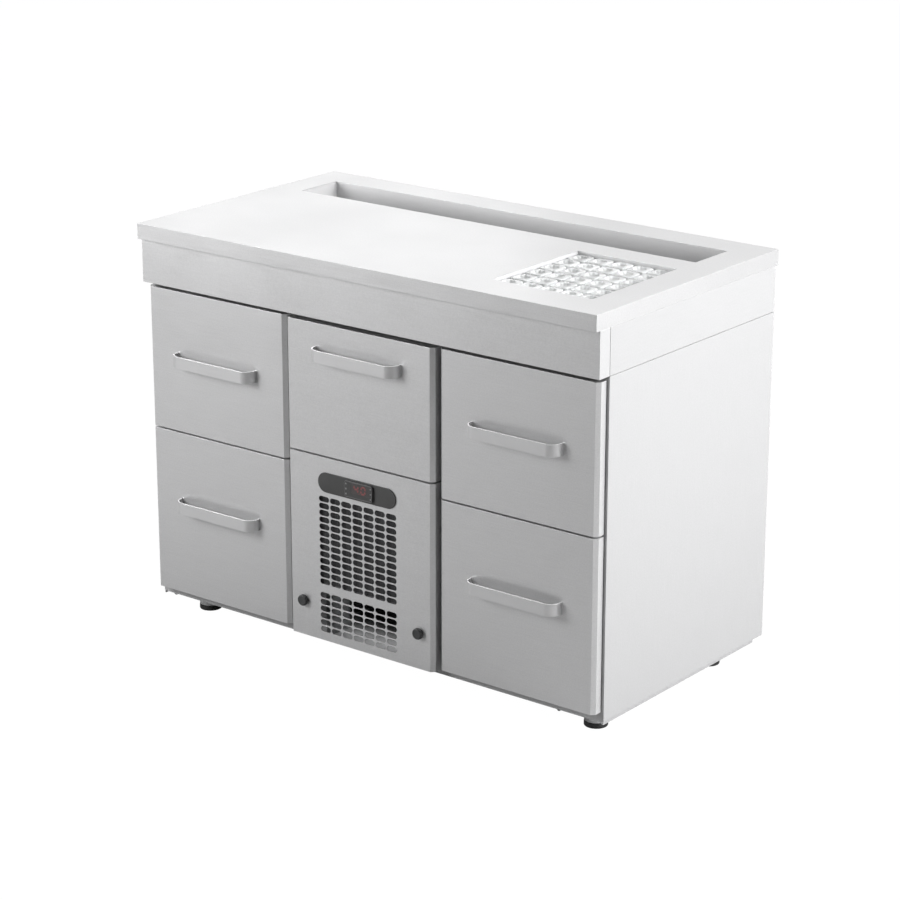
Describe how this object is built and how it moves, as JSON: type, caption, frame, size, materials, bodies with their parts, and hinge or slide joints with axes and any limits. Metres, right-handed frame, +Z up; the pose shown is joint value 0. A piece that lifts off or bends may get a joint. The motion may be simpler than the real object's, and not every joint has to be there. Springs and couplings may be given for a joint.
{
  "type": "refrigerated bar station",
  "caption": "Stainless steel refrigerated bar counter with a long bottle well, a square ice well, drawers with bow handles and a slotted machine panel with a temperature controller.",
  "frame": {"origin": "on the floor, under the middle of the part's outer box (worktop sides, worktop back edge, middle handle front)", "axes": "+X along the counter's length towards the ice well, +Y from the drawer fronts to the rear wall, +Z up; the drawers face -Y"},
  "size_m": [1.2, 0.666, 0.9],
  "materials": {
    "stainless_brushed": "satin brushed, grain along the longest side",
    "stainless_well": "satin",
    "handle_steel": "fine satin",
    "zinc_steel": "zinc plated",
    "gasket_grey": "matte",
    "clear_block": "clear and glossy",
    "black_panel": "matte",
    "display_smoke": "smoked, glossy",
    "key_grey": "matte",
    "black_knob": "matte, ribbed",
    "foot_black": "matte black casting on a rubber tread",
    "coil_dark": "dark fins",
    "coil_alu": "bare fins",
    "fan_plastic": "matte",
    "black_enamel": "gloss enamel",
    "copper": "bare copper tube",
    "cord_black": "matte"
  },
  "bodies": {
    "cabinet": {"worktop": "stainless_brushed", "front_apron": "stainless_brushed", "side_aprons": "stainless_brushed", "side_panel_left": "stainless_brushed", "side_panel_right": "stainless_brushed", "rear_wall": "stainless_brushed", "base_pan": "stainless_brushed", "dividers": "stainless_brushed", "insulated_shelves": "stainless_brushed", "bottle_well": "stainless_well", "ice_well": "stainless_well", "foot_mounts": "zinc_steel", "runner_rails": "zinc_steel", "condenser": "coil_dark", "fan_motors": "zinc_steel", "compressor": "black_enamel", "evaporator": "coil_alu", "refrigerant_pipes": "copper", "power_cord": "cord_black"},
    "machine_door": {"machine_panel": "stainless_brushed", "controller_plate": "black_panel", "controller_body": "black_panel", "display_window": "display_smoke"},
    "temp_key_1": {"key_1": "key_grey"},
    "temp_key_2": {"key_2": "key_grey"},
    "temp_key_3": {"key_3": "key_grey"},
    "knob_l": {"knob_left": "black_knob"},
    "knob_r": {"knob_right": "black_knob"},
    "leveller_fl": {"foot_fl": "foot_black"},
    "leveller_fr": {"foot_fr": "foot_black"},
    "leveller_bl": {"foot_bl": "foot_black"},
    "leveller_br": {"foot_br": "foot_black"},
    "ice_blocks": {"ice_insert": "clear_block"},
    "fan_condenser": {"condenser_fan": "fan_plastic"},
    "fan_evaporator": {"evaporator_fan": "fan_plastic"},
    "drawer_ul": {"front_ul": "stainless_brushed", "gasket_ul": "gasket_grey", "box_ul": "stainless_well", "handle_ul": "handle_steel"},
    "runner_ul": {"slides_ul": "zinc_steel"},
    "drawer_ll": {"front_ll": "stainless_brushed", "gasket_ll": "gasket_grey", "box_ll": "stainless_well", "handle_ll": "handle_steel"},
    "runner_ll": {"slides_ll": "zinc_steel"},
    "drawer_mid": {"front_mid": "stainless_brushed", "gasket_mid": "gasket_grey", "box_mid": "stainless_well", "handle_mid": "handle_steel"},
    "runner_mid": {"slides_mid": "zinc_steel"},
    "drawer_ur": {"front_ur": "stainless_brushed", "gasket_ur": "gasket_grey", "box_ur": "stainless_well", "handle_ur": "handle_steel"},
    "runner_ur": {"slides_ur": "zinc_steel"},
    "drawer_lr": {"front_lr": "stainless_brushed", "gasket_lr": "gasket_grey", "box_lr": "stainless_well", "handle_lr": "handle_steel"},
    "runner_lr": {"slides_lr": "zinc_steel"}
  },
  "joints": [
    {"name": "drawer_ul_slide", "type": "slide", "parent": "cabinet", "child": "drawer_ul", "axis": [0, -1, 0], "range_m": [0, 0.44]},
    {"name": "runner_ul_slide", "type": "slide", "parent": "cabinet", "child": "runner_ul", "axis": [0, -1, 0], "range_m": [0, 0.22]},
    {"name": "drawer_ll_slide", "type": "slide", "parent": "cabinet", "child": "drawer_ll", "axis": [0, -1, 0], "range_m": [0, 0.44]},
    {"name": "runner_ll_slide", "type": "slide", "parent": "cabinet", "child": "runner_ll", "axis": [0, -1, 0], "range_m": [0, 0.22]},
    {"name": "drawer_mid_slide", "type": "slide", "parent": "cabinet", "child": "drawer_mid", "axis": [0, -1, 0], "range_m": [0, 0.28]},
    {"name": "runner_mid_slide", "type": "slide", "parent": "cabinet", "child": "runner_mid", "axis": [0, -1, 0], "range_m": [0, 0.14]},
    {"name": "drawer_ur_slide", "type": "slide", "parent": "cabinet", "child": "drawer_ur", "axis": [0, -1, 0], "range_m": [0, 0.44]},
    {"name": "runner_ur_slide", "type": "slide", "parent": "cabinet", "child": "runner_ur", "axis": [0, -1, 0], "range_m": [0, 0.22]},
    {"name": "drawer_lr_slide", "type": "slide", "parent": "cabinet", "child": "drawer_lr", "axis": [0, -1, 0], "range_m": [0, 0.44]},
    {"name": "runner_lr_slide", "type": "slide", "parent": "cabinet", "child": "runner_lr", "axis": [0, -1, 0], "range_m": [0, 0.22]},
    {"name": "machine_door_lift_off", "type": "slide", "parent": "cabinet", "child": "machine_door", "axis": [0, -1, 0], "range_m": [0, 0.08]},
    {"name": "knob_l_turn", "type": "hinge", "parent": "machine_door", "child": "knob_l", "pos_m": [-0.1545, -0.3045, 0.142], "axis": [0, 1, 0], "range_deg": [0, 90]},
    {"name": "knob_r_turn", "type": "hinge", "parent": "machine_door", "child": "knob_r", "pos_m": [0.158, -0.3045, 0.142], "axis": [0, 1, 0], "range_deg": [0, 90]},
    {"name": "temp_key_1_press", "type": "slide", "parent": "machine_door", "child": "temp_key_1", "axis": [0, 1, 0], "range_m": [0, 0.0006], "stiffness_N_per_m": 0.5},
    {"name": "temp_key_2_press", "type": "slide", "parent": "machine_door", "child": "temp_key_2", "axis": [0, 1, 0], "range_m": [0, 0.0006], "stiffness_N_per_m": 0.5},
    {"name": "temp_key_3_press", "type": "slide", "parent": "machine_door", "child": "temp_key_3", "axis": [0, 1, 0], "range_m": [0, 0.0006], "stiffness_N_per_m": 0.5},
    {"name": "leveller_fl_height", "type": "slide", "parent": "cabinet", "child": "leveller_fl", "axis": [0, 0, -1], "range_m": [0, 0.015]},
    {"name": "leveller_fr_height", "type": "slide", "parent": "cabinet", "child": "leveller_fr", "axis": [0, 0, -1], "range_m": [0, 0.015]},
    {"name": "leveller_bl_height", "type": "slide", "parent": "cabinet", "child": "leveller_bl", "axis": [0, 0, -1], "range_m": [0, 0.015]},
    {"name": "leveller_br_height", "type": "slide", "parent": "cabinet", "child": "leveller_br", "axis": [0, 0, -1], "range_m": [0, 0.015]},
    {"name": "ice_blocks_lift", "type": "slide", "parent": "cabinet", "child": "ice_blocks", "axis": [0, 0, 1], "range_m": [0, 0.09]},
    {"name": "fan_condenser_spin", "type": "hinge", "parent": "cabinet", "child": "fan_condenser", "pos_m": [0, -0.17, 0.29], "axis": [0, 1, 0], "continuous": true},
    {"name": "fan_evaporator_spin", "type": "hinge", "parent": "cabinet", "child": "fan_evaporator", "pos_m": [0, 0.104, 0.62], "axis": [0, 1, 0], "continuous": true}
  ],
  "couplings": [
    {"joint": "runner_ul_slide", "follows": "drawer_ul_slide", "ratio": 0.5},
    {"joint": "runner_ll_slide", "follows": "drawer_ll_slide", "ratio": 0.5},
    {"joint": "runner_mid_slide", "follows": "drawer_mid_slide", "ratio": 0.5},
    {"joint": "runner_ur_slide", "follows": "drawer_ur_slide", "ratio": 0.5},
    {"joint": "runner_lr_slide", "follows": "drawer_lr_slide", "ratio": 0.5}
  ]
}
